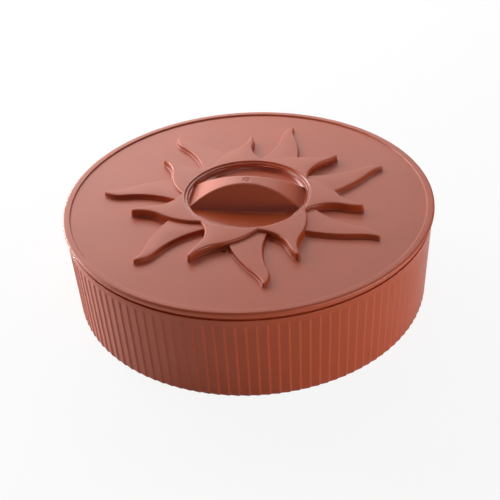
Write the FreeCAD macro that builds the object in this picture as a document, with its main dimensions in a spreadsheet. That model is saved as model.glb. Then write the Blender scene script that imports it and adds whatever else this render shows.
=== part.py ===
import FreeCAD, Part
import math
import os
import Sketcher
from FreeCAD import Placement, Rotation, Vector

# Tortilla warmer: a round ribbed bowl and a lift-off lid, both single plastic mouldings.
# The lid carries a sun in relief on two levels, a sunk round well in its middle and an arched
# grip bar across the well. Millimetres, +Z up, origin in the middle of the bowl's underside,
# with the grip along X.

SIZES = [
    # bowl
    ("wall_foot_radius", 138.1, "outside of the wall, carried down to the table"),
    ("wall_top_radius", 140.7, "outside of the wall at its shoulder"),
    ("shoulder_height", 72.8, "table to the shoulder under the lid's skirt"),
    ("bowl_wall", 3.2, "wall thickness on the ribs"),
    ("bowl_floor", 2.6, "floor thickness"),
    ("foot_step", 1.2, "height of the foot ring under the floor"),
    ("foot_width", 7.0, "flat width of the foot ring"),
    ("foot_round", 4.5, "eased corner between wall and foot ring"),
    ("inner_round", 6.0, "eased corner between wall and floor inside"),
    ("seat_height", 3.5, "seat ring above the shoulder"),
    ("rib_count", 120, "ribs round the wall"),
    ("plain_band", 5.8, "smooth band between ribs and shoulder"),
    ("rib_turn", 0.2, "direction of the first rib's edge, degrees"),
    ("groove_share", 0.95, "share of a rib's pitch that its groove takes"),
    ("groove_step", 2.2, "steep side of a groove, from the rib's edge to the bottom"),
    ("groove_depth", 0.9, "depth of a groove"),
    # lid
    ("lid_overhang", 1.5, "how far the lid reaches past the bowl's shoulder"),
    ("lid_wall", 2.2, "thickness of the lid's sheet"),
    ("rim_width", 5.4, "raised rim round the panel"),
    ("rim_height", 1.1, "rim above the panel"),
    ("skirt_draft", 1.5, "how much the skirt draws in towards its lower edge"),
    ("skirt_gap", 1.1, "open gap between skirt and shoulder"),
    ("skirt_clearance", 0.4, "play between skirt and seat ring"),
    # well for the fingers
    ("well_radius", 48.9, "edge of the well in the sun's face"),
    ("well_draft", 4.3, "how much the well draws in towards its floor"),
    ("well_round", 3.0, "eased corner between the well's wall and floor"),
    ("ledge_depth", 1.5, "step below the sun's face"),
    ("ledge_width", 1.6, "width of that step"),
    ("ledge_draft", 0.9, "how much the step's riser draws in"),
    # sun
    ("ray_count", 7, "rays of each length"),
    ("short_ray_tip", 89.2, "axis to the tip of a short ray"),
    ("long_ray_tip", 112.5, "axis to the tip of a long ray"),
    ("short_ray_rise", 5.6, "short rays above the panel"),
    ("long_ray_rise", 3.4, "long rays above the panel"),
    ("ray_slope", 20.0, "slope of the rays' sides from upright, degrees"),
    ("long_ray_turn", 180.0, "direction of the first long ray, degrees"),
    ("short_ray_lead", 17.84, "short ray ahead of a long one, degrees"),
    ("ray_ring", 1.3, "width of the sun's face round the well"),
    # grip
    ("grip_rise", 17.5, "crest of the grip above the panel"),
    ("grip_half_length", 44.8, "middle to end of the grip, on the well's floor"),
    ("grip_crest_width", 12.0, "width of the grip's top at the crest"),
    ("grip_slope", 33.0, "slope of the grip's sides from upright, degrees"),
    ("grip_round", 3.0, "rounding along the grip's top edges"),
    ("gate_radius", 3.2, "shallow dimple at the moulding gate"),
    ("gate_depth", 0.4, "depth of that dimple"),
    # steam vent
    ("vent_radius", 1.5, "hole through the panel"),
    ("vent_distance", 70.8, "axis of the lid to the vent"),
    ("vent_turn", -96.7, "direction of the vent, degrees"),
]

OVERLAP = 0.5       # how far a raised feature reaches into the sheet that carries it
CLEAR = 5.0         # how far a cutting shape reaches past what it cuts
EASED = 0.29        # share of its reach by which an eased corner misses the sharp one

# The outline of a ray, as shares of its length counted from the well's edge: the middle and
# radius of its tip, then for its lower and upper side the root, the bend and the heading there.
LONG_RAY = (
    (0.990, 0.004), 0.010,
    ((-0.077, -0.346), (0.772, -0.086), 32.0),
    ((-0.061, 0.220), (0.756, 0.064), 12.5),
)
SHORT_RAY = (
    (0.980, 0.009), 0.020,
    ((-0.042, -0.372), (0.672, -0.019), -9.0),
    ((-0.206, 0.720), (0.486, 0.293), -50.0),
)


# ---------------------------------------------------------------- sizes and their expressions

class Size:
    """A size: its value, and the text of the expression that binds it to the spreadsheet."""

    def __init__(self, value, text=None):
        self.value = float(value)
        self.text = text or repr(self.value)

    def combine(self, sign, other, value):
        return Size(value, f"({self.text} {sign} {as_size(other).text})")

    def __add__(self, other):
        return self.combine("+", other, self.value + as_size(other).value)

    def __sub__(self, other):
        return self.combine("-", other, self.value - as_size(other).value)

    def __mul__(self, other):
        return self.combine("*", other, self.value * as_size(other).value)

    def __truediv__(self, other):
        return self.combine("/", other, self.value / as_size(other).value)

    def __neg__(self):
        return Size(-self.value, f"(0 - {self.text})")


def as_size(value):
    return value if isinstance(value, Size) else Size(value)


def of_angle(function, angle):
    """The sine, cosine or tangent of an angle in degrees."""
    value = getattr(math, function)(math.radians(angle.value))
    return Size(value, f"{function}({angle.text} * 1 deg)")


def make_sheet():
    """Puts every driving size in the spreadsheet and returns them by name."""
    sheet = doc.addObject("Spreadsheet::Sheet", "sizes")
    named = {}
    for row, (alias, value, meaning) in enumerate(SIZES, start=1):
        sheet.set(f"A{row}", str(value))
        sheet.setAlias(f"A{row}", alias)
        sheet.set(f"B{row}", meaning)
        named[alias] = Size(value, f"sizes.{alias}")
    doc.recompute()
    return named


doc = FreeCAD.newDocument("tortilla_warmer")
size = make_sheet()

# Heights above the table, and radii on which bowl and lid meet.
shoulder = size["shoulder_height"]
seat_top = shoulder + size["seat_height"]
panel_top = seat_top + size["lid_wall"]
rim_top = panel_top + size["rim_height"]
skirt_foot = shoulder + size["skirt_gap"]
short_ray_top = panel_top + size["short_ray_rise"]
long_ray_top = panel_top + size["long_ray_rise"]
crest = panel_top + size["grip_rise"]
lid_radius = size["wall_top_radius"] + size["lid_overhang"]
skirt_outside = lid_radius - size["skirt_draft"]
skirt_inside = skirt_outside - size["lid_wall"] / 2
seat_radius = skirt_inside - size["skirt_clearance"]
mouth_radius = size["wall_top_radius"] - size["bowl_wall"]


# ---------------------------------------------------------------- sketches and features

def origin_part(body, role):
    return next(item for item in body.Origin.OriginFeatures if item.Role == role)


def new_body(label):
    body = doc.addObject("PartDesign::Body", label)
    body.Label = label
    return body


def new_sketch(body, name, role, height=Size(0), turn=Size(0)):
    """A sketch on one of the body's own planes, raised by a height and turned about its normal."""
    sketch = body.newObject("Sketcher::SketchObject", name)
    sketch.AttachmentSupport = [(origin_part(body, role), "")]
    sketch.MapMode = "FlatFace"
    lift = Vector(0, 0, height.value)
    sketch.AttachmentOffset = Placement(lift, Rotation(Vector(0, 0, 1), turn.value))
    sketch.setExpression("AttachmentOffset.Base.z", height.text)
    if turn.value:
        sketch.setExpression("AttachmentOffset.Rotation.Angle", turn.text)
    return sketch


def bind(sketch, name, value, *constraint):
    """Adds a dimension to the sketch and binds it to its size."""
    index = sketch.addConstraint(Sketcher.Constraint(*constraint, value.value))
    sketch.renameConstraint(index, name)
    sketch.setExpression(f"Constraints.{name}", value.text)


def pin(sketch, line, end, x, y):
    """Ties one end of a line or arc, or a circle's centre, to its two coordinates."""
    bind(sketch, f"x{line}", as_size(x), "DistanceX", -1, 1, line, end)
    bind(sketch, f"y{line}", as_size(y), "DistanceY", -1, 1, line, end)


def outline(sketch, corners, bows):
    """A closed outline, counter-clockwise, with every corner pinned.

    A side is straight where its bow is None. Otherwise it is an arc with that radius,
    which bulges outwards if the radius is positive and inwards if it is negative.
    """
    places = [Vector(as_size(x).value, as_size(y).value, 0) for x, y in corners]
    for i, start in enumerate(places):
        end = places[(i + 1) % len(places)]
        sketch.addGeometry(side_of_outline(start, end, bows[i]), False)
    for i, start in enumerate(places):
        ends = {line: nearest_end(sketch, line, start) for line in (i - 1, i)}
        before = (i - 1) % len(places)
        sketch.addConstraint(Sketcher.Constraint("Coincident", before, ends[i - 1], i, ends[i]))
        pin(sketch, i, ends[i], *corners[i])
    for i, bow in enumerate(bows):
        if bow is not None:
            radius = bow if bow.value > 0 else -bow
            bind(sketch, f"bow{i}", radius, "Radius", i)


def side_of_outline(start, end, bow):
    if bow is None:
        return Part.LineSegment(start, end)
    chord = end - start
    rise = abs(bow.value) - math.sqrt(bow.value ** 2 - chord.Length ** 2 / 4)
    outward = Vector(chord.y, -chord.x, 0).normalize()
    middle = (start + end) / 2 + outward * math.copysign(rise, bow.value)
    return Part.Arc(start, middle, end)


def nearest_end(sketch, line, place):
    """The number that Sketcher gives to the line's end at this place."""
    line = line % sketch.GeometryCount
    first, last = sketch.getPoint(line, 1), sketch.getPoint(line, 2)
    return 1 if first.distanceToPoint(place) < last.distanceToPoint(place) else 2


def polygon(sketch, corners):
    outline(sketch, corners, [None] * len(corners))


def circle(sketch, x, y, radius):
    middle = Vector(as_size(x).value, as_size(y).value, 0)
    sketch.addGeometry(Part.Circle(middle, Vector(0, 0, 1), radius.value), False)
    pin(sketch, 0, 3, x, y)
    bind(sketch, "radius", radius, "Radius", 0)


def revolve(body, name, corners):
    section = new_sketch(body, f"{name}_section", "XZ_Plane")
    polygon(section, corners)
    feature = body.newObject("PartDesign::Revolution", name)
    feature.Profile = section
    feature.ReferenceAxis = (section, ["V_Axis"])
    feature.Angle = 360
    doc.recompute()


def loft(body, kind, name, first, last):
    feature = body.newObject(kind, name)
    feature.Profile = first
    feature.Sections = [last]
    feature.Ruled = True
    doc.recompute()
    return feature


def pocket(body, name, profile, depth, both_ways=False):
    """Cuts down from the profile, or to both sides of it."""
    feature = body.newObject("PartDesign::Pocket", name)
    feature.Profile = profile
    if both_ways:
        feature.SideType = "Symmetric"
    feature.setExpression("Length", depth.text)
    doc.recompute()
    return feature


def repeat_round(body, feature, count):
    """Repeats a feature evenly round the body's upright axis."""
    pattern = body.newObject("PartDesign::PolarPattern", f"{feature.Name}_ring")
    pattern.Originals = [feature]
    pattern.Axis = (origin_part(body, "Z_Axis"), [""])
    pattern.Angle = 360
    pattern.setExpression("Occurrences", count.text)
    body.Tip = pattern
    doc.recompute()


def join(body, kind, other):
    """Adds another body to this one (Fuse) or takes it away (Cut)."""
    step = body.newObject("PartDesign::Boolean", f"{kind.lower()}_{other.Name}")
    step.Type = kind
    step.setObjects([other])
    body.Tip = step
    doc.recompute()


# ---------------------------------------------------------------- bowl

def wall_radius(height):
    """Outside radius of the bowl's wall at a height."""
    lean = (size["wall_top_radius"] - size["wall_foot_radius"]) / shoulder
    return size["wall_foot_radius"] + lean * height


def make_bowl():
    """Bowl with a foot ring, a shoulder under the lid's skirt and a seat ring inside the skirt."""
    body = new_body("base_bowl")
    floor_top = size["foot_step"] + size["bowl_floor"]
    foot_outside = size["wall_foot_radius"] - size["foot_round"]
    foot_inside = foot_outside - size["foot_width"]
    foot_ease = size["foot_round"] * EASED
    inner_foot = wall_radius(floor_top) - size["bowl_wall"]
    inner_lean = (mouth_radius - inner_foot) / (seat_top - floor_top)
    revolve(body, "bowl", [
        (0, size["foot_step"]),
        (foot_inside, size["foot_step"]),
        (foot_inside + size["foot_step"], 0),
        (foot_outside, 0),
        (size["wall_foot_radius"] - foot_ease, foot_ease),
        (wall_radius(size["foot_round"]), size["foot_round"]),
        (size["wall_top_radius"], shoulder),
        (seat_radius, shoulder),
        (seat_radius, seat_top),
        (mouth_radius, seat_top),
        (inner_foot + inner_lean * size["inner_round"], floor_top + size["inner_round"]),
        (inner_foot - size["inner_round"], floor_top),
        (0, floor_top),
    ])
    cut_grooves(body)
    return body


def cut_grooves(body):
    """Saw-tooth grooves round the wall, square at the top and running out in the foot.

    A groove drops steeply from one rib's edge and rises gently to the next one's. Its lower
    section is the upper one scaled with the wall's radius, so its edges follow straight lines
    of the wall.
    """
    head = shoulder - size["plain_band"]
    outside = wall_radius(head)
    turn = Size(360) / size["rib_count"] * size["groove_share"]
    near_edge = (outside, Size(0))
    far_edge = (outside * of_angle("cos", turn), outside * of_angle("sin", turn))
    bottom = (outside - size["groove_depth"], size["groove_step"])
    reach = Size(1) + Size(OVERLAP) / size["groove_depth"]
    corners = [[low + (high - low) * reach for low, high in zip(bottom, edge)]
               for edge in (near_edge, far_edge)] + [bottom]
    sections = []
    for name, height in (("groove_head", head), ("groove_foot", Size(-CLEAR))):
        share = wall_radius(height) / outside
        section = new_sketch(body, name, "XY_Plane", height, size["rib_turn"])
        polygon(section, [(share * x, share * y) for x, y in corners])
        sections.append(section)
    groove = loft(body, "PartDesign::SubtractiveLoft", "groove", *sections)
    repeat_round(body, groove, size["rib_count"])


# ---------------------------------------------------------------- rays of the sun

class Flank:
    """One side of a ray: two arcs that run into each other at the bend and end in the tip.

    Each point comes with the direction from it into the ray. A radius is positive where the
    side bulges and negative where it is hollow.
    """

    def __init__(self, root, bend, heading, tip, tip_radius, turn):
        root, bend = Vector(*root), Vector(*bend)
        angle = math.radians(heading)
        into_bend = Vector(-math.sin(angle), math.cos(angle), 0) * turn
        chord = bend - root
        inner_radius = -chord.dot(chord) / (2 * chord.dot(into_bend))
        into_root = (bend + into_bend * inner_radius - root) / inner_radius
        reach = bend - tip
        outer_radius = (tip_radius ** 2 - reach.dot(reach)) / (2 * (reach.dot(into_bend) + tip_radius))
        into_tip = (bend + into_bend * outer_radius - tip).normalize()
        if outer_radius < 0:
            into_tip = -into_tip
        self.points = [(root, into_root), (bend, into_bend), (tip - into_tip * tip_radius, into_tip)]
        self.radii = [Size(inner_radius), Size(outer_radius)]


class Ray:
    """A flame-shaped ray that points along +X."""

    def __init__(self, tip_distance, tip, tip_radius, lower, upper):
        tip = Vector(*tip)
        self.length = tip_distance - size["well_radius"]
        lower = Flank(*lower, tip, tip_radius, 1)
        upper = Flank(*upper, tip, tip_radius, -1)
        end = (tip + Vector(tip_radius, 0, 0), Vector(-1, 0, 0))
        self.points = lower.points + [end] + upper.points[::-1]
        self.radii = lower.radii + [None, None] + upper.radii[::-1]

    def draw(self, sketch, grow):
        """Draws the outline, grown by a distance along its sides and round its tip."""
        corners = []
        for place, inward in self.points:
            x = size["well_radius"] + self.length * place.x - grow * inward.x
            corners.append((x, self.length * place.y - grow * inward.y))
        bows = [radius and radius * self.length + grow for radius in self.radii]
        root = -(size["well_radius"] + size["ray_ring"] / 2 + grow)
        outline(sketch, corners, bows + [root])


def raise_rays(body, name, ray, top, turn):
    """Raises a ring of rays whose sides slope from the face down into the panel."""
    foot = panel_top - OVERLAP
    face = new_sketch(body, f"{name}_face", "XY_Plane", top, turn)
    ray.draw(face, Size(0))
    spread = new_sketch(body, f"{name}_foot", "XY_Plane", foot, turn)
    ray.draw(spread, (top - foot) * of_angle("tan", size["ray_slope"]))
    solid = loft(body, "PartDesign::AdditiveLoft", name, face, spread)
    repeat_round(body, solid, size["ray_count"])


def hollow_rays(body, name, ray, top, turn):
    """Hollows a ring of rays from below, leaving the wall thickness all round."""
    ceiling = top - size["lid_wall"]
    face = new_sketch(body, f"{name}_ceiling", "XY_Plane", ceiling, turn)
    ray.draw(face, Size(0))
    inset = body.newObject("PartDesign::SubShapeBinder", f"{name}_inset")
    inset.Support = [(face, "")]
    inset.setExpression("Offset", (-size["lid_wall"]).text)
    doc.recompute()
    hollow = pocket(body, f"{name}_hollow", inset, ceiling - seat_top + CLEAR)
    repeat_round(body, hollow, size["ray_count"])


# ---------------------------------------------------------------- grip

def make_grip(name, inset, floor):
    """A bar with sloping sides whose top is a round arch along X, cut off at a floor.

    With an inset it is the hollow under the bar, smaller by that much on every side.
    """
    body = new_body(name)
    rise = size["grip_rise"]
    half_length = size["grip_half_length"]
    arch = (half_length * half_length + rise * rise) / (rise * 2)
    side = of_angle("tan", size["grip_slope"])
    top = crest - inset
    half_top = size["grip_crest_width"] / 2 + side * inset - inset / of_angle("cos", size["grip_slope"])
    root = floor - rise
    half_root = half_top + side * (top - root)
    across = new_sketch(body, f"{name}_across", "YZ_Plane")
    polygon(across, [(-half_root, root), (half_root, root), (half_top, top), (-half_top, top)])
    bar = body.newObject("PartDesign::Pad", f"{name}_bar")
    bar.Profile = across
    bar.SideType = "Symmetric"
    bar.setExpression("Length", (arch * 2).text)
    doc.recompute()

    radius = arch - inset
    reach = arch + CLEAR
    above = new_sketch(body, f"{name}_above", "XZ_Plane")
    outline(above, [
        (-radius, crest - arch),
        (0, top),
        (radius, crest - arch),
        (reach, crest - arch),
        (reach, crest + CLEAR),
        (-reach, crest + CLEAR),
        (-reach, crest - arch),
    ], [-radius, -radius, None, None, None, None, None])
    pocket(body, f"{name}_arch", above, half_root * 2 + CLEAR, both_ways=True)
    if not inset.value:
        round_crest(body)

    below = new_sketch(body, f"{name}_below", "XY_Plane", floor)
    polygon(below, [(-reach, -reach), (reach, -reach), (reach, reach), (-reach, reach)])
    pocket(body, f"{name}_cut_off", below, arch * 2)
    return body


def round_crest(body):
    """Rounds the two long edges between the arch and the sloping sides."""
    bar = body.Tip
    edges = []
    for i, edge in enumerate(bar.Shape.Edges, start=1):
        middle = edge.valueAt((edge.FirstParameter + edge.LastParameter) / 2)
        if isinstance(edge.Curve, Part.Ellipse) and middle.z > panel_top.value:
            edges.append(f"Edge{i}")
    rounding = body.newObject("PartDesign::Fillet", "grip_rounding")
    rounding.Base = (bar, edges)
    rounding.setExpression("Radius", size["grip_round"].text)
    doc.recompute()


# ---------------------------------------------------------------- lid

def make_shell(body):
    """Panel with its rim and skirt, and the stepped well in the middle of the sun's ring."""
    well_edge = size["well_radius"]
    ledge = short_ray_top - size["ledge_depth"]
    riser_foot = well_edge - size["ledge_draft"]
    ledge_inside = riser_foot - size["ledge_width"]
    well_foot = well_edge - size["well_draft"]
    well_lean = (ledge_inside - well_foot) / (ledge - panel_top)
    well_ease = size["well_round"] * EASED
    ring_outside = well_edge + size["ray_ring"]
    ring_foot = ring_outside + size["short_ray_rise"] * of_angle("tan", size["ray_slope"])
    rim_inside = lid_radius - size["rim_width"]
    revolve(body, "shell", [
        (0, seat_top),
        (skirt_inside, seat_top),
        (skirt_inside, skirt_foot),
        (skirt_outside, skirt_foot),
        (lid_radius, rim_top),
        (rim_inside, rim_top),
        (rim_inside - size["rim_height"] / 2, panel_top),
        (ring_foot, panel_top),
        (ring_outside, short_ray_top),
        (well_edge, short_ray_top),
        (riser_foot, ledge),
        (ledge_inside, ledge),
        (well_foot + well_lean * size["well_round"], panel_top + size["well_round"]),
        (well_foot - well_ease, panel_top + well_ease),
        (well_foot - size["well_round"], panel_top),
        (0, panel_top),
    ])


def drill_vent(body):
    """The small hole that lets steam out."""
    x = size["vent_distance"] * of_angle("cos", size["vent_turn"])
    y = size["vent_distance"] * of_angle("sin", size["vent_turn"])
    section = new_sketch(body, "vent_section", "XY_Plane", rim_top)
    circle(section, x, y, size["vent_radius"])
    pocket(body, "vent", section, rim_top - seat_top + CLEAR)


def mark_gate(body):
    """The round dimple that the moulding gate leaves on the grip's crest."""
    section = new_sketch(body, "gate_section", "XY_Plane", crest)
    circle(section, 0, 0, size["gate_radius"])
    pocket(body, "gate", section, size["gate_depth"])


def make_lid():
    body = new_body("lid")
    make_shell(body)
    short_turn = size["long_ray_turn"] + size["short_ray_lead"]
    rays = [
        ("long_ray", Ray(size["long_ray_tip"], *LONG_RAY), long_ray_top, size["long_ray_turn"]),
        ("short_ray", Ray(size["short_ray_tip"], *SHORT_RAY), short_ray_top, short_turn),
    ]
    for ring in rays:
        raise_rays(body, *ring)
    join(body, "Fuse", make_grip("grip", Size(0), panel_top - OVERLAP))
    join(body, "Cut", make_grip("grip_hollow", size["lid_wall"], seat_top - OVERLAP))
    for ring in rays:
        hollow_rays(body, *ring)
    drill_vent(body)
    mark_gate(body)
    return body


# ---------------------------------------------------------------- files

def check(bodies):
    """Stops if any step failed, or if a finished piece isn't one sound solid."""
    for item in doc.Objects:
        if "Invalid" in item.State or "Error" in item.State:
            raise RuntimeError(f"{item.Label}: {item.State}")
    for body in bodies:
        shape = body.Shape
        if shape.isNull() or not shape.isValid() or len(shape.Solids) != 1:
            raise RuntimeError(f"{body.Label} isn't one sound solid")


pieces = [make_bowl(), make_lid()]
check(pieces)
os.makedirs("parts", exist_ok=True)
for piece in pieces:
    piece.Shape.exportStep(f"parts/{piece.Label}.step")
    print(piece.Label, round(piece.Shape.Volume / 1000, 1), "cm3", len(piece.Shape.Faces), "faces")
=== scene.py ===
import bmesh
import bpy
import math
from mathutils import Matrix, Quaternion, Vector


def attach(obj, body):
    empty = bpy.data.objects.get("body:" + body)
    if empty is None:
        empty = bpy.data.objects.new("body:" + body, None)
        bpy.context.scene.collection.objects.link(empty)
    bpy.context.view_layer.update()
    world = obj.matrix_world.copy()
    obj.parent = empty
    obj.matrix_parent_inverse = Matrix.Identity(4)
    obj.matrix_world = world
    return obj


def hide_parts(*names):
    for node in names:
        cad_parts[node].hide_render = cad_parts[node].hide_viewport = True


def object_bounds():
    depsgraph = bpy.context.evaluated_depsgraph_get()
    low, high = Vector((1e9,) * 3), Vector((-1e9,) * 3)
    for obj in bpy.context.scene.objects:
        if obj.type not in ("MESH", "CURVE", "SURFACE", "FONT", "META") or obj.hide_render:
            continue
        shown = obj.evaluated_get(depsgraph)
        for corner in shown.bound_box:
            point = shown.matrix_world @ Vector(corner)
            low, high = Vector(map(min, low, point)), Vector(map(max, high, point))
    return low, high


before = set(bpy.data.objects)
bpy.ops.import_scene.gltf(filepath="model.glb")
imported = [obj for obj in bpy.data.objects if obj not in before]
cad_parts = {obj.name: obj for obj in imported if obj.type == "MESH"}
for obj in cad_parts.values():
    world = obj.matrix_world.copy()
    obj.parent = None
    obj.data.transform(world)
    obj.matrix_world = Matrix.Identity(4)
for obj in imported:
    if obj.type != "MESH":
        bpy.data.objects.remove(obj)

cad_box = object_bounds()


# ------------------------------------------------------------------ terracotta plastic
# Both mouldings are one terracotta-coloured polypropylene, dyed through. The moulds were
# blasted very finely, so the skin is satin, with slight clouding and an uneven gloss that
# differs between level and upright faces.

DYE = (0.485, 0.077, 0.022, 1.0)
PLASTIC_IOR = 1.49


def feed(tree, socket, value):
    """Sets a socket to a number or a colour, or links another node's output to it."""
    if isinstance(value, bpy.types.NodeSocket):
        tree.links.new(value, socket)
    else:
        socket.default_value = value


def add_node(tree, kind, **given):
    """A new node with its inputs fed by name; an underscore stands for a space."""
    node = tree.nodes.new(kind)
    for name, value in given.items():
        feed(tree, node.inputs[name.replace("_", " ")], value)
    return node


def calculate(tree, operation, *values):
    """The result of a Math node on two or three values."""
    node = tree.nodes.new("ShaderNodeMath")
    node.operation = operation
    for socket, value in zip(node.inputs, values):
        feed(tree, socket, value)
    return node.outputs["Value"]


def make_moulded_skin():
    """Node group: clouding of the dye, uneven gloss and the blasted grain of a moulded skin."""
    group = bpy.data.node_groups.new("moulded_skin", "ShaderNodeTree")
    sockets = group.interface
    sockets.new_socket("Dye", in_out="INPUT", socket_type="NodeSocketColor")
    for name, usual in (("Roughness", 0.3), ("Flat Roughness", 0.3), ("Gloss Amount", 0.05),
                        ("Cloud Size", 22.0), ("Cloud Amount", 0.04),
                        ("Grain Size", 1800.0), ("Grain Height", 0.08)):
        socket = sockets.new_socket(name, in_out="INPUT", socket_type="NodeSocketFloat")
        socket.default_value = usual
    for name, kind in (("Color", "Color"), ("Roughness", "Float"), ("Normal", "Vector")):
        sockets.new_socket(name, in_out="OUTPUT", socket_type="NodeSocket" + kind)
    given = group.nodes.new("NodeGroupInput").outputs
    result = group.nodes.new("NodeGroupOutput").inputs
    place = group.nodes.new("ShaderNodeTexCoord").outputs

    cloud = add_node(group, "ShaderNodeTexNoise", Vector=place["Object"],
                     Scale=given["Cloud Size"], Detail=3.0, Roughness=0.55)
    spread = add_node(group, "ShaderNodeMapRange", Value=cloud.outputs["Fac"],
                      From_Min=0.3, From_Max=0.7, To_Min=-1.0, To_Max=1.0)
    shade = calculate(group, "MULTIPLY_ADD", spread.outputs["Result"], given["Cloud Amount"], 1.0)
    clouded = add_node(group, "ShaderNodeHueSaturation", Value=shade, Color=given["Dye"])
    feed(group, result["Color"], clouded.outputs["Color"])

    patch = add_node(group, "ShaderNodeTexNoise", Vector=place["Object"],
                     Scale=14.0, Detail=4.0, Roughness=0.6)
    uneven = calculate(group, "SUBTRACT", patch.outputs["Fac"], 0.5)
    facing = add_node(group, "ShaderNodeSeparateXYZ", Vector=place["Normal"])
    plain = add_node(group, "ShaderNodeMapRange", Value=facing.outputs["Z"],
                     From_Min=0.6, From_Max=0.8,
                     To_Min=given["Roughness"], To_Max=given["Flat Roughness"])
    plain.interpolation_type = "SMOOTHSTEP"
    gloss = calculate(group, "MULTIPLY_ADD", uneven, given["Gloss Amount"],
                      plain.outputs["Result"])
    feed(group, result["Roughness"], gloss)

    grain = add_node(group, "ShaderNodeTexNoise", Vector=place["Object"],
                     Scale=given["Grain Size"], Detail=2.0)
    bump = add_node(group, "ShaderNodeBump", Height=grain.outputs["Fac"],
                    Strength=given["Grain Height"], Distance=0.0001)
    feed(group, result["Normal"], bump.outputs["Normal"])
    return group


moulded_skin = make_moulded_skin()


def terracotta(name, roughness, flat_roughness, grain_height):
    """The plastic of one piece: a plain body in the shader under a moulded skin."""
    material = bpy.data.materials.new(name)
    material.use_nodes = True
    tree = material.node_tree
    skin = tree.nodes.new("ShaderNodeGroup")
    skin.node_tree = moulded_skin
    skin.inputs["Dye"].default_value = DYE
    skin.inputs["Roughness"].default_value = roughness
    skin.inputs["Flat Roughness"].default_value = flat_roughness
    skin.inputs["Grain Height"].default_value = grain_height
    body = tree.nodes["Principled BSDF"]
    body.inputs["IOR"].default_value = PLASTIC_IOR
    tree.links.new(skin.outputs["Color"], body.inputs["Base Color"])
    tree.links.new(skin.outputs["Roughness"], body.inputs["Roughness"])
    tree.links.new(skin.outputs["Normal"], body.inputs["Normal"])
    return material


# ------------------------------------------------------------------ bowl
# The bowl is one moulding: a slightly tapered wall with 120 ribs like saw teeth, a smooth band
# and a shoulder above them, and a seat ring for the lid. The grooves between the ribs are
# square at the top and run on round the foot; the floor stands a little off the table.

bowl_plastic = terracotta("terracotta_bowl", 0.26, 0.32, 0.10)

WALL_FOOT_RADIUS = 0.1381
WALL_TOP_RADIUS = 0.1407
WALL_THICKNESS = 0.0032
SHOULDER_HEIGHT = 0.0724
SHOULDER_ROUNDING = 0.0004
FOOT_ROUNDING = 0.0045
FOOT_RING = 0.0055
FLOOR_INSET = 0.007
FLOOR_BOTTOM = 0.0012
FLOOR_TOP = 0.0038
FLOOR_ROUNDING = 0.006
SEAT_RADIUS = 0.1392
SEAT_TOP = 0.0763
MOUTH_RADIUS = 0.1375
RIBS = 120
FIRST_RIB = math.radians(0.2)
GROOVE_HEAD = 0.0670
GROOVE_HEAD_SLOPE = 0.0002
GROOVE_DEPTH = 0.0006
GROOVE_STEP = 0.0015
GROOVE_RUNOUT = 0.0006
TURNED_COLUMNS = 180


def arc(middle, radius, start, end, steps):
    """Points of an arc in a plane; the angles are in degrees."""
    points = []
    for i in range(steps + 1):
        angle = math.radians(start + (end - start) * i / steps)
        points.append((middle[0] + radius * math.cos(angle),
                       middle[1] + radius * math.sin(angle)))
    return points


def eased(corners, steps=5):
    """A line through corners (x, y, radius), each rounded by its radius."""
    points = []
    for i, (x, y, radius) in enumerate(corners):
        corner = Vector((x, y))
        if radius == 0.0:
            points.append((x, y))
            continue
        before = (Vector(corners[i - 1][:2]) - corner).normalized()
        after = (Vector(corners[i + 1][:2]) - corner).normalized()
        half = before.angle(after) / 2
        middle = corner + (before + after).normalized() * (radius / math.sin(half))
        first = corner + before * (radius / math.tan(half)) - middle
        last = corner + after * (radius / math.tan(half)) - middle
        for k in range(steps + 1):
            share = k / steps
            spoke = (first * (1 - share) + last * share).normalized() * radius
            points.append((middle.x + spoke.x, middle.y + spoke.y))
    return points


def finish_mesh(name, bm, material, body, sharp=35.0):
    """Makes the piece from its mesh, smooth except over sharp edges, and puts it on its body."""
    bmesh.ops.remove_doubles(bm, verts=bm.verts, dist=1e-7)
    bmesh.ops.recalc_face_normals(bm, faces=bm.faces)
    mesh = bpy.data.meshes.new(name)
    bm.to_mesh(mesh)
    bm.free()
    mesh.polygons.foreach_set("use_smooth", [True] * len(mesh.polygons))
    mesh.set_sharp_from_angle(angle=math.radians(sharp))
    mesh.materials.append(material)
    piece = bpy.data.objects.new(name, mesh)
    bpy.context.scene.collection.objects.link(piece)
    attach(piece, body)
    return piece


def add_strips(bm, rows, closed=True):
    """Joins rows of points, as many in each, by quads; a closed row runs right round."""
    made = [[bm.verts.new(point) for point in row] for row in rows]
    count = len(made[0])
    for low, high in zip(made, made[1:]):
        for i in range(count if closed else count - 1):
            k = (i + 1) % count
            bm.faces.new((low[i], low[k], high[k], high[i]))


def around(radius, angle, height):
    """The point at a radius and an angle about the keeper's axis."""
    return Vector((radius * math.cos(angle), radius * math.sin(angle), height))


def turned(bm, profile, columns):
    """A surface of revolution about Z; where its profile reaches the axis it is closed."""
    rows = []
    for radius, height in profile:
        rows.append([around(radius, 2 * math.pi * i / columns, height) for i in range(columns)])
    add_strips(bm, rows)


def wall_radius(height):
    """Radius of the tapered wall at a height."""
    return WALL_FOOT_RADIUS + (WALL_TOP_RADIUS - WALL_FOOT_RADIUS) * height / SHOULDER_HEIGHT


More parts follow.
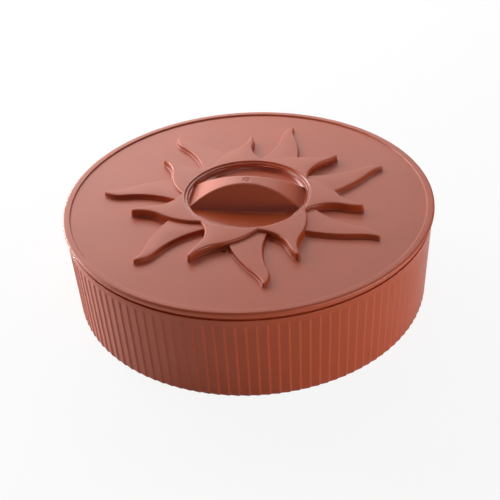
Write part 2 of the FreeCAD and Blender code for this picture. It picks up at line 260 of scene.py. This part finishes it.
def make_ribbed_wall(bm):
    """The outside of the wall, from under the foot to the shoulder."""
    head_radius = wall_radius(GROOVE_HEAD)
    pitch = 2 * math.pi / RIBS
    width = pitch * head_radius
    lap = 0.0002
    tooth = eased([
        (-lap, 0.0, 0.0),
        (0.0, 0.0, 0.0005),
        (GROOVE_STEP, -GROOVE_DEPTH, 0.0007),
        (0.95 * width, 0.0, 0.0008),
        (0.98 * width - lap, 0.0, 0.0),
    ], steps=4)
    foot_middle = wall_radius(FOOT_ROUNDING) - FOOT_ROUNDING
    profile = [(foot_middle - FOOT_RING, 0.0)]
    profile += arc((foot_middle, FOOT_ROUNDING), FOOT_ROUNDING, -90, 0, 10)
    for height in (0.010, 0.022, 0.038, 0.055, GROOVE_HEAD - 1.5 * GROOVE_HEAD_SLOPE,
                   GROOVE_HEAD - 0.5 * GROOVE_HEAD_SLOPE, GROOVE_HEAD + 0.5 * GROOVE_HEAD_SLOPE,
                   0.0700):
        profile.append((wall_radius(height), height))
    profile += arc((WALL_TOP_RADIUS - SHOULDER_ROUNDING, SHOULDER_HEIGHT - SHOULDER_ROUNDING),
                   SHOULDER_ROUNDING, 0, 90, 3)
    profile.append((SEAT_RADIUS, SHOULDER_HEIGHT))
    rows = []
    for radius, height in profile:
        grooved = min(1.0, height / GROOVE_RUNOUT) if height < GROOVE_HEAD else 0.0
        row = []
        for rib in range(RIBS):
            for offset, cut in tooth:
                angle = FIRST_RIB + rib * pitch + offset / head_radius
                row.append(around(radius + cut * grooved, angle, height))
        rows.append(row)
    add_strips(bm, rows)


bm = bmesh.new()
make_ribbed_wall(bm)
floor_edge = WALL_FOOT_RADIUS - FOOT_ROUNDING - FLOOR_INSET
under_floor = eased([
    (wall_radius(FOOT_ROUNDING) - FOOT_ROUNDING - FOOT_RING, 0.0, 0.0),
    (floor_edge + FLOOR_BOTTOM, 0.0, 0.0004),
    (floor_edge, FLOOR_BOTTOM, 0.0004),
    (0.0, FLOOR_BOTTOM, 0.0),
])
turned(bm, under_floor, TURNED_COLUMNS)
seat_and_cavity = eased([
    (SEAT_RADIUS, SHOULDER_HEIGHT, 0.0),
    (SEAT_RADIUS, SEAT_TOP, 0.0005),
    (MOUTH_RADIUS, SEAT_TOP, 0.0005),
    (wall_radius(FLOOR_TOP) - WALL_THICKNESS, FLOOR_TOP, FLOOR_ROUNDING),
    (0.0, FLOOR_TOP, 0.0),
])
turned(bm, seat_and_cavity, TURNED_COLUMNS)
bowl = finish_mesh("ribbed_bowl", bm, bowl_plastic, "bowl")
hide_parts("base_bowl")


# ------------------------------------------------------------------ lid: rim, skirt and panel
# The lid is a second moulding of the same plastic. A slim raised rim runs round the flat panel,
# and a short skirt hangs over the bowl's seat ring. A small steam vent goes through the panel.

lid_plastic = terracotta("terracotta_lid", 0.20, 0.48, 0.08)
panel_plastic = terracotta("terracotta_panel", 0.40, 0.48, 0.08)

LID_RADIUS = cad_box[1][0]
RIM_TOP = 0.0796
RIM_ROUNDING = 0.0016
RIM_INSIDE = 0.1368
RIM_COLUMNS = 240
PANEL_TOP = 0.0785
PANEL_EDGE = 0.1350
PANEL_HOLE = 0.0495
SKIRT_FOOT = 0.0743
SKIRT_INSIDE = 0.1396
SKIRT_OUTSIDE = 0.1407
SUN_COLUMNS = 96
VENT_PLACE = (-0.00826, -0.07032)
VENT_RADIUS = 0.0015
VENT_DEPTH = 0.0021
VENT_COLUMNS = 24


def ring_of(radius, height, columns, middle=(0.0, 0.0)):
    """Points of a level circle."""
    centre = Vector((*middle, 0.0))
    return [centre + around(radius, 2 * math.pi * i / columns, height) for i in range(columns)]


def fill_between(bm, loops):
    """Fills the flat area between closed loops of points."""
    edges = []
    for loop in loops:
        verts = [bm.verts.new(point) for point in loop]
        edges += [bm.edges.new((verts[i - 1], verts[i])) for i in range(len(verts))]
    bmesh.ops.triangle_fill(bm, edges=edges, use_beauty=True)


bm = bmesh.new()
rim = eased([
    (SKIRT_INSIDE, SKIRT_FOOT, 0.0),
    (SKIRT_OUTSIDE, SKIRT_FOOT, 0.0003),
    (LID_RADIUS + 0.0007, RIM_TOP, RIM_ROUNDING),
    (RIM_INSIDE, RIM_TOP, 0.0004),
    (RIM_INSIDE - 0.0006, PANEL_TOP, 0.0006),
    (PANEL_EDGE, PANEL_TOP, 0.0),
])
turned(bm, rim, RIM_COLUMNS)
fill_between(bm, [
    ring_of(PANEL_EDGE, PANEL_TOP, RIM_COLUMNS),
    ring_of(VENT_RADIUS, PANEL_TOP, VENT_COLUMNS, VENT_PLACE),
    ring_of(PANEL_HOLE, PANEL_TOP, SUN_COLUMNS),
])
add_strips(bm, [ring_of(VENT_RADIUS, height, VENT_COLUMNS, VENT_PLACE)
                for height in (PANEL_TOP, PANEL_TOP - VENT_DEPTH)])
lid = finish_mesh("lid_panel", bm, panel_plastic, "cover")
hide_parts("lid")


# ------------------------------------------------------------------ lid: underside
# The underside is plain: the flat sheet, the hollows under the rays and the grip, and the
# inside of the skirt.

UNDERSIDE_RADIUS = SKIRT_INSIDE + 0.0004
CREST_MARK_RADIUS = 0.005
CREST_MARK_FOOT = 0.0950


def is_under(face):
    """Whether a face of the solid lid belongs to its underside."""
    middle = face.calc_center_median()
    distance = math.hypot(middle.x, middle.y)
    on_skirt_foot = middle.z < SKIRT_FOOT
    on_crest_mark = middle.z > CREST_MARK_FOOT and distance < CREST_MARK_RADIUS
    if on_skirt_foot or on_crest_mark:
        return False
    return face.normal.z < 0.05 and distance < UNDERSIDE_RADIUS


bm = bmesh.new()
bm.from_mesh(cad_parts["lid"].data)
bm.faces.ensure_lookup_table()
bmesh.ops.delete(bm, geom=[face for face in bm.faces if not is_under(face)], context="FACES")
for vert in bm.verts:
    vert.co.z = max(vert.co.z, SKIRT_FOOT)
underside = finish_mesh("lid_underside", bm, lid_plastic, "cover")


# ------------------------------------------------------------------ lid: sun
# Two rings of seven flame-shaped rays, one above the other, moulded in one with the panel.
# Their sides slope, their upper edges are rounded and their feet run into the sheet.

RAYS = 7
RAY_ROOT = 0.0489
RAY_SLOPE = math.radians(9.0)
RAY_SET_BACK = 0.60
SHORT_RAY_TOP = 0.0841
SHORT_RAY_EDGE = 0.0013
SHORT_RAY_COVE = 0.0010
LONG_RAY_TOP = 0.0819
LONG_RAY_EDGE = 0.0011
LONG_RAY_COVE = 0.0009
LONG_RAY_TURN = math.radians(180.0)
SHORT_RAY_TURN = LONG_RAY_TURN + math.radians(17.84)
SUN_RING_RADIUS = 0.0502
WELL_MOUTH = 0.0494


def turned_by(point, angle):
    """A point in the plane, turned about the lid's axis."""
    return Vector((point.x * math.cos(angle) - point.y * math.sin(angle),
                   point.x * math.sin(angle) + point.y * math.cos(angle)))


def flank(root, bend, heading, tip, tip_radius, turn, steps=18):
    """One side of a ray as (place, direction into the ray): two arcs that meet at the bend."""
    root, bend = Vector(root), Vector(bend)
    angle = math.radians(heading)
    into_bend = Vector((-math.sin(angle), math.cos(angle))) * turn
    chord = bend - root
    inner_radius = -chord.dot(chord) / (2 * chord.dot(into_bend))
    reach = bend - tip
    outer_radius = (tip_radius ** 2 - reach.dot(reach)) / (2 * (reach.dot(into_bend) + tip_radius))
    into_root = (bend + into_bend * inner_radius - root) / inner_radius
    into_tip = (bend + into_bend * outer_radius - tip).normalized()
    into_tip *= math.copysign(1, outer_radius)
    points = []
    for start, end, radius in ((into_root, into_bend, inner_radius),
                               (into_bend, into_tip, outer_radius)):
        middle = bend + into_bend * radius
        for k in range(steps):
            share = k / steps
            inward = (start * (1 - share) + end * share).normalized()
            points.append((middle - inward * radius, inward))
    points.append((tip - into_tip * tip_radius, into_tip))
    return points


class Ray:
    """A flame-shaped ray along +X. All but its reach are shares of its length from the root;
    each side is its root, its bend and the heading at the bend in degrees."""

    def __init__(self, reach, tip, tip_radius, lower, upper):
        tip = Vector(tip)
        self.length = reach - RAY_ROOT
        lower = flank(*lower, tip, tip_radius, 1)
        upper = flank(*upper, tip, tip_radius, -1)
        start, end = lower[-1][1], upper[-1][1]
        cap = []
        for k in range(1, 10):
            inward = (start * (1 - k / 10) + end * (k / 10)).normalized()
            cap.append((tip - inward * tip_radius, inward))
        self.points = lower + cap + upper[::-1]

    def outline(self, grow, turn):
        """The ray's outline, grown by a distance and turned about the lid's axis."""
        points = []
        for place, inward in self.points:
            point = Vector((RAY_ROOT + place.x * self.length - inward.x * grow,
                            place.y * self.length - inward.y * grow))
            points.append(turned_by(point, turn))
        return points


long_ray = Ray(reach=0.1125, tip=(0.990, 0.004), tip_radius=0.010,
               lower=((-0.077, -0.346), (0.772, -0.086), 32.0),
               upper=((-0.061, 0.220), (0.756, 0.064), 12.5))
short_ray = Ray(reach=0.0892, tip=(0.980, 0.009), tip_radius=0.020,
                lower=((-0.042, -0.372), (0.672, -0.019), -9.0),
                upper=((-0.206, 0.720), (0.486, 0.293), -50.0))


def ray_side(top, edge_radius, cove_radius):
    """The ray's side from its face to its foot as (growth, height)."""
    bend = math.pi / 2 - RAY_SLOPE
    corner = edge_radius * math.tan(bend / 2)
    set_back = RAY_SET_BACK * edge_radius
    foot = corner - set_back + (top - PANEL_TOP) * math.tan(RAY_SLOPE)
    side = []
    for k in range(7):
        angle = bend * k / 6
        side.append((edge_radius * math.sin(angle) - set_back,
                     top - edge_radius * (1 - math.cos(angle))))
    for k in range(7):
        angle = bend * (1 - k / 6)
        side.append((foot + cove_radius * (math.tan(bend / 2) - math.sin(angle)),
                     PANEL_TOP + cove_radius * (1 - math.cos(angle))))
    return side


def crossing(first, second):
    """Where two open lines of points cross: the point, and how far along each of them."""
    for i in range(len(first) - 1):
        a, b = first[i], first[i + 1]
        for k in range(len(second) - 1):
            c, d = second[k], second[k + 1]
            along, across = b - a, d - c
            turn = along.x * across.y - along.y * across.x
            if abs(turn) < 1e-14:
                continue
            gap = c - a
            s = (gap.x * across.y - gap.y * across.x) / turn
            t = (gap.x * along.y - gap.y * along.x) / turn
            if 0 <= s <= 1 and 0 <= t <= 1:
                return a + along * s, i + s, k + t
    raise ValueError("the rays don't meet")


def respaced(points, count):
    """The same line of points with a given number of even steps."""
    lengths = [0.0]
    for a, b in zip(points, points[1:]):
        lengths.append(lengths[-1] + (b - a).length)
    spaced = []
    k = 0
    for i in range(count + 1):
        target = lengths[-1] * i / count
        while k < len(points) - 2 and lengths[k + 1] < target:
            k += 1
        span = lengths[k + 1] - lengths[k]
        share = (target - lengths[k]) / span if span else 0.0
        spaced.append(points[k].lerp(points[k + 1], share))
    return spaced


def star_outline(grow, run_on=0.012, steps=70):
    """Outline of the upper ring of rays, which run together in a narrow ring round the well."""
    pitch = 2 * math.pi / RAYS
    ray = short_ray.outline(grow, SHORT_RAY_TURN)
    ray.insert(0, ray[0] + (ray[0] - ray[1]).normalized() * run_on)
    ray.append(ray[-1] + (ray[-1] - ray[-2]).normalized() * run_on)
    following = [turned_by(p, pitch) for p in ray]
    half = len(ray) // 2
    notch, leave, enter = crossing(ray[half:], following[:half])
    rising = [turned_by(notch, -pitch)] + ray[int(enter) + 1:half + 1]
    falling = ray[half:half + int(leave) + 1] + [notch]
    points = []
    for p in respaced(rising, steps)[:-1] + respaced(falling, steps)[:-1]:
        points.append(p * max(1.0, (SUN_RING_RADIUS + grow) / p.length))
    return [turned_by(p, pitch * k) for k in range(RAYS) for p in points]


def raised(outline, side):
    """The outline's rows of points for each step down a ray's side."""
    return [[Vector((p.x, p.y, height)) for p in outline(grow)] for grow, height in side]


bm = bmesh.new()
rows = raised(star_outline, ray_side(SHORT_RAY_TOP, SHORT_RAY_EDGE, SHORT_RAY_COVE))
add_strips(bm, rows)
fill_between(bm, [rows[0], ring_of(WELL_MOUTH, SHORT_RAY_TOP, SUN_COLUMNS)])
short_rays = finish_mesh("short_rays", bm, lid_plastic, "cover", sharp=50.0)

bm = bmesh.new()
side = ray_side(LONG_RAY_TOP, LONG_RAY_EDGE, LONG_RAY_COVE)
for k in range(RAYS):
    turn = LONG_RAY_TURN + 2 * math.pi * k / RAYS
    rows = raised(lambda grow: long_ray.outline(grow, turn), side)
    add_strips(bm, rows, closed=False)
    bm.faces.new([bm.verts.new(point) for point in rows[0]])
long_rays = finish_mesh("long_rays", bm, lid_plastic, "cover", sharp=50.0)


# ------------------------------------------------------------------ lid: well and grip
# The well in the sun's middle gives the fingers room. A hollow bar bridges it, arched like a
# bow, with planed sides and rounded edges; the mark on its crest is where the plastic came in.

well_plastic = terracotta("terracotta_well", 0.28, 0.18, 0.05)

LEDGE_HEIGHT = 0.0830
WELL_FLOOR = 0.0786
WELL_COVE = 0.0040
WELL_COLUMNS = 144
GRIP_CREST = cad_box[1][2]
GRIP_ARCH = 0.0661
GRIP_HALF_LENGTH = 0.0446
GRIP_HALF_CREST = 0.0060
GRIP_SLOPE = math.tan(math.radians(33.0))
GRIP_EDGE = 0.0030
GRIP_FOOT_ROUNDING = 0.0012
GRIP_SKIRT = 0.0030
MARK_RADIUS = 0.0031
MARK_DEPTH = 0.00035
NUB_RADIUS = 0.0008
NUB_HEIGHT = 0.00033
MARK_SPACING = 0.0002

bm = bmesh.new()
well = eased([
    (WELL_MOUTH, SHORT_RAY_TOP, 0.0),
    (0.0487, SHORT_RAY_TOP, 0.0007),
    (0.0480, LEDGE_HEIGHT, 0.0004),
    (0.0464, LEDGE_HEIGHT, 0.0005),
    (0.0448, WELL_FLOOR + 0.0001, WELL_COVE),
    (0.0200, WELL_FLOOR - 0.0002, 0.0),
    (0.0, WELL_FLOOR - 0.0003, 0.0),
])
turned(bm, well, WELL_COLUMNS)
finger_well = finish_mesh("finger_well", bm, well_plastic, "cover")


def within(distance, radius, softness):
    """One inside a circle, nought outside, with a soft step between."""
    return 1.0 / (1.0 + math.exp((distance - radius) / softness))


def gate_mark(distance):
    """Depth of the round mark on the crest: a shallow dish with a nub in its middle."""
    dish = MARK_DEPTH * within(distance, MARK_RADIUS, 0.00012)
    nub = NUB_HEIGHT * within(distance, NUB_RADIUS, 0.00010)
    return dish - nub


def grip_section(x):
    """The bar's outline across, at a place along it, from one foot to the other."""
    top = GRIP_CREST - GRIP_ARCH + math.sqrt(GRIP_ARCH ** 2 - x * x)
    height = max(top - WELL_FLOOR, 0.0004)
    half_top = GRIP_HALF_CREST + GRIP_SLOPE * (GRIP_CREST - top)
    half_foot = half_top + GRIP_SLOPE * height
    edge = min(GRIP_EDGE, height * 0.55)
    foot = min(GRIP_FOOT_ROUNDING, height * 0.3)
    outline = eased([
        (-half_foot - GRIP_SKIRT, WELL_FLOOR, 0.0),
        (-half_foot, WELL_FLOOR, foot),
        (-half_top, WELL_FLOOR + height, edge),
        (half_top, WELL_FLOOR + height, edge),
        (half_foot, WELL_FLOOR, foot),
        (half_foot + GRIP_SKIRT, WELL_FLOOR, 0.0),
    ], steps=6)
    middle = len(outline) // 2
    (low, level), (high, level) = outline[middle - 1:middle + 1]
    crest = [(low + (high - low) * k / 40, level) for k in range(1, 40)]
    outline[middle:middle] = [(y, z - gate_mark(math.hypot(x, y))) for y, z in crest]
    return outline


def grip_stations():
    """Places along the bar: closer together at its ends, and evenly close at the mark."""
    mark = [MARK_SPACING * i for i in range(-20, 21)]
    eased_out = [GRIP_HALF_LENGTH * math.sin(math.pi / 2 * (i / 30 - 1)) for i in range(61)]
    return sorted(mark + [x for x in eased_out if abs(x) > mark[-1] + MARK_SPACING])


bm = bmesh.new()
sections = [[Vector((x, y, z)) for y, z in grip_section(x)] for x in grip_stations()]
add_strips(bm, sections, closed=False)
grip_bar = finish_mesh("grip_bar", bm, lid_plastic, "cover", sharp=60.0)


# ------------------------------------------------------------------ room
# A pale floor under soft lights. Wide boxes stand low and half-high at the left and behind the
# keeper, weaker ones at the right, one small box hangs high in front, and two narrow strips
# just above the floor stand for what a white table throws back.

FLOOR_REACH = 3.0
FLOOR_GREY = (0.86, 0.86, 0.86, 1.0)
FLOOR_WHITENESS = 0.9
BACKDROP_IN_GLOSS = 0.3
AMBIENT_LEVEL = 0.02
WHITE = (1.0, 1.0, 1.0, 1.0)


def backdrop_rays(tree):
    """One for rays that show the backdrop, from the camera or through glass; part for gloss."""
    ray = tree.nodes.new("ShaderNodeLightPath").outputs
    dimmed = calculate(tree, "MULTIPLY", ray["Is Glossy Ray"], BACKDROP_IN_GLOSS)
    seen = calculate(tree, "MAXIMUM", ray["Is Camera Ray"], dimmed)
    return calculate(tree, "MAXIMUM", seen, ray["Is Transmission Ray"])


def mixed(tree, share, first, second):
    """Two shaders mixed, with a share of the second."""
    mix = tree.nodes.new("ShaderNodeMixShader")
    for socket, value in zip(mix.inputs, (share, first, second)):
        feed(tree, socket, value)
    return mix.outputs["Shader"]


floor_paint = bpy.data.materials.new("pale_floor")
floor_paint.use_nodes = True
tree = floor_paint.node_tree
paint = tree.nodes["Principled BSDF"]
paint.inputs["Base Color"].default_value = FLOOR_GREY
paint.inputs["Roughness"].default_value = 0.9
white = add_node(tree, "ShaderNodeEmission", Color=WHITE, Strength=1.0)
whitened = calculate(tree, "MULTIPLY", backdrop_rays(tree), FLOOR_WHITENESS)
surface = mixed(tree, whitened, paint.outputs["BSDF"], white.outputs["Emission"])
tree.links.new(surface, tree.nodes["Material Output"].inputs["Surface"])

floor_mesh = bpy.data.meshes.new("pale_floor")
corners = [(-FLOOR_REACH, -FLOOR_REACH, 0.0), (FLOOR_REACH, -FLOOR_REACH, 0.0),
           (FLOOR_REACH, FLOOR_REACH, 0.0), (-FLOOR_REACH, FLOOR_REACH, 0.0)]
floor_mesh.from_pydata(corners, [], [(0, 1, 2, 3)])
floor_mesh.materials.append(floor_paint)
floor = bpy.data.objects.new("pale_floor", floor_mesh)
bpy.context.scene.collection.objects.link(floor)

world = bpy.data.worlds.new("studio")
bpy.context.scene.world = world
world.use_nodes = True
tree = world.node_tree
ambient = tree.nodes["Background"]
ambient.inputs["Color"].default_value = WHITE
ambient.inputs["Strength"].default_value = AMBIENT_LEVEL
backdrop = add_node(tree, "ShaderNodeBackground", Color=WHITE, Strength=1.0)
surface = mixed(tree, backdrop_rays(tree), ambient.outputs["Background"],
                backdrop.outputs["Background"])
tree.links.new(surface, tree.nodes["World Output"].inputs["Surface"])

LIGHT_DISTANCE = 1.2
LIGHT_AIM = Vector((0.0, 0.0, 0.05))


def softbox(name, azimuth, elevation, width, height, brightness):
    """A rectangular soft light round the keeper that looks at its middle; angles in degrees."""
    lamp = bpy.data.lights.new(name, "AREA")
    lamp.shape = "RECTANGLE"
    lamp.size = width
    lamp.size_y = height
    lamp.energy = math.pi * width * height * brightness
    light = bpy.data.objects.new(name, lamp)
    turn, rise = math.radians(azimuth), math.radians(elevation)
    away = around(math.cos(rise), turn, math.sin(rise))
    light.location = away * LIGHT_DISTANCE + LIGHT_AIM
    light.rotation_mode = "QUATERNION"
    light.rotation_quaternion = (-away).to_track_quat("-Z", "Y")
    bpy.context.scene.collection.objects.link(light)


# Name, azimuth, elevation, width, height, brightness.
softbox("left_low_light", 180.0, 3.5, 0.62, 0.20, 13.5)
softbox("left_back_floor_light", 150.0, -1.5, 0.62, 0.03, 125.0)
softbox("left_back_low_light", 150.0, 4.0, 0.62, 0.18, 9.5)
softbox("left_back_light", 150.0, 25.0, 0.62, 0.45, 9.4)
softbox("back_low_light", 105.0, 4.0, 1.20, 0.18, 3.0)
softbox("back_light", 120.0, 29.0, 0.62, 0.45, 5.6)
softbox("back_right_light", 90.0, 24.0, 0.62, 0.25, 4.4)
softbox("back_high_light", 72.0, 50.0, 0.60, 0.40, 3.8)
softbox("front_high_light", 289.0, 71.0, 0.20, 0.20, 6.0)
softbox("right_floor_light", 345.0, -1.5, 1.20, 0.03, 28.0)
softbox("right_front_low_light", 328.0, 4.0, 0.80, 0.18, 9.5)
softbox("right_low_light", 0.0, 4.0, 0.62, 0.18, 3.0)


# ------------------------------------------------------------------ camera
# A long lens in front of the keeper, above it and a little to the right. It looks down at the
# keeper's middle and is rolled a little.

CAMERA_PLACE = (0.1033, -0.6477, 0.4947)
CAMERA_AIM = (-0.0006, 0.0, 0.0302)
CAMERA_ROLL = math.radians(-3.327)

lens = bpy.data.cameras.new("camera")
lens.sensor_width = 36.0
lens.lens = 72.43
camera = bpy.data.objects.new("camera", lens)
camera.location = CAMERA_PLACE
aim = Vector(CAMERA_AIM) - Vector(CAMERA_PLACE)
camera.rotation_mode = "QUATERNION"
camera.rotation_quaternion = aim.to_track_quat("-Z", "Y") @ Quaternion((0, 0, 1), CAMERA_ROLL)
bpy.context.scene.collection.objects.link(camera)
bpy.context.scene.camera = camera
bpy.context.scene.view_settings.view_transform = "Standard"
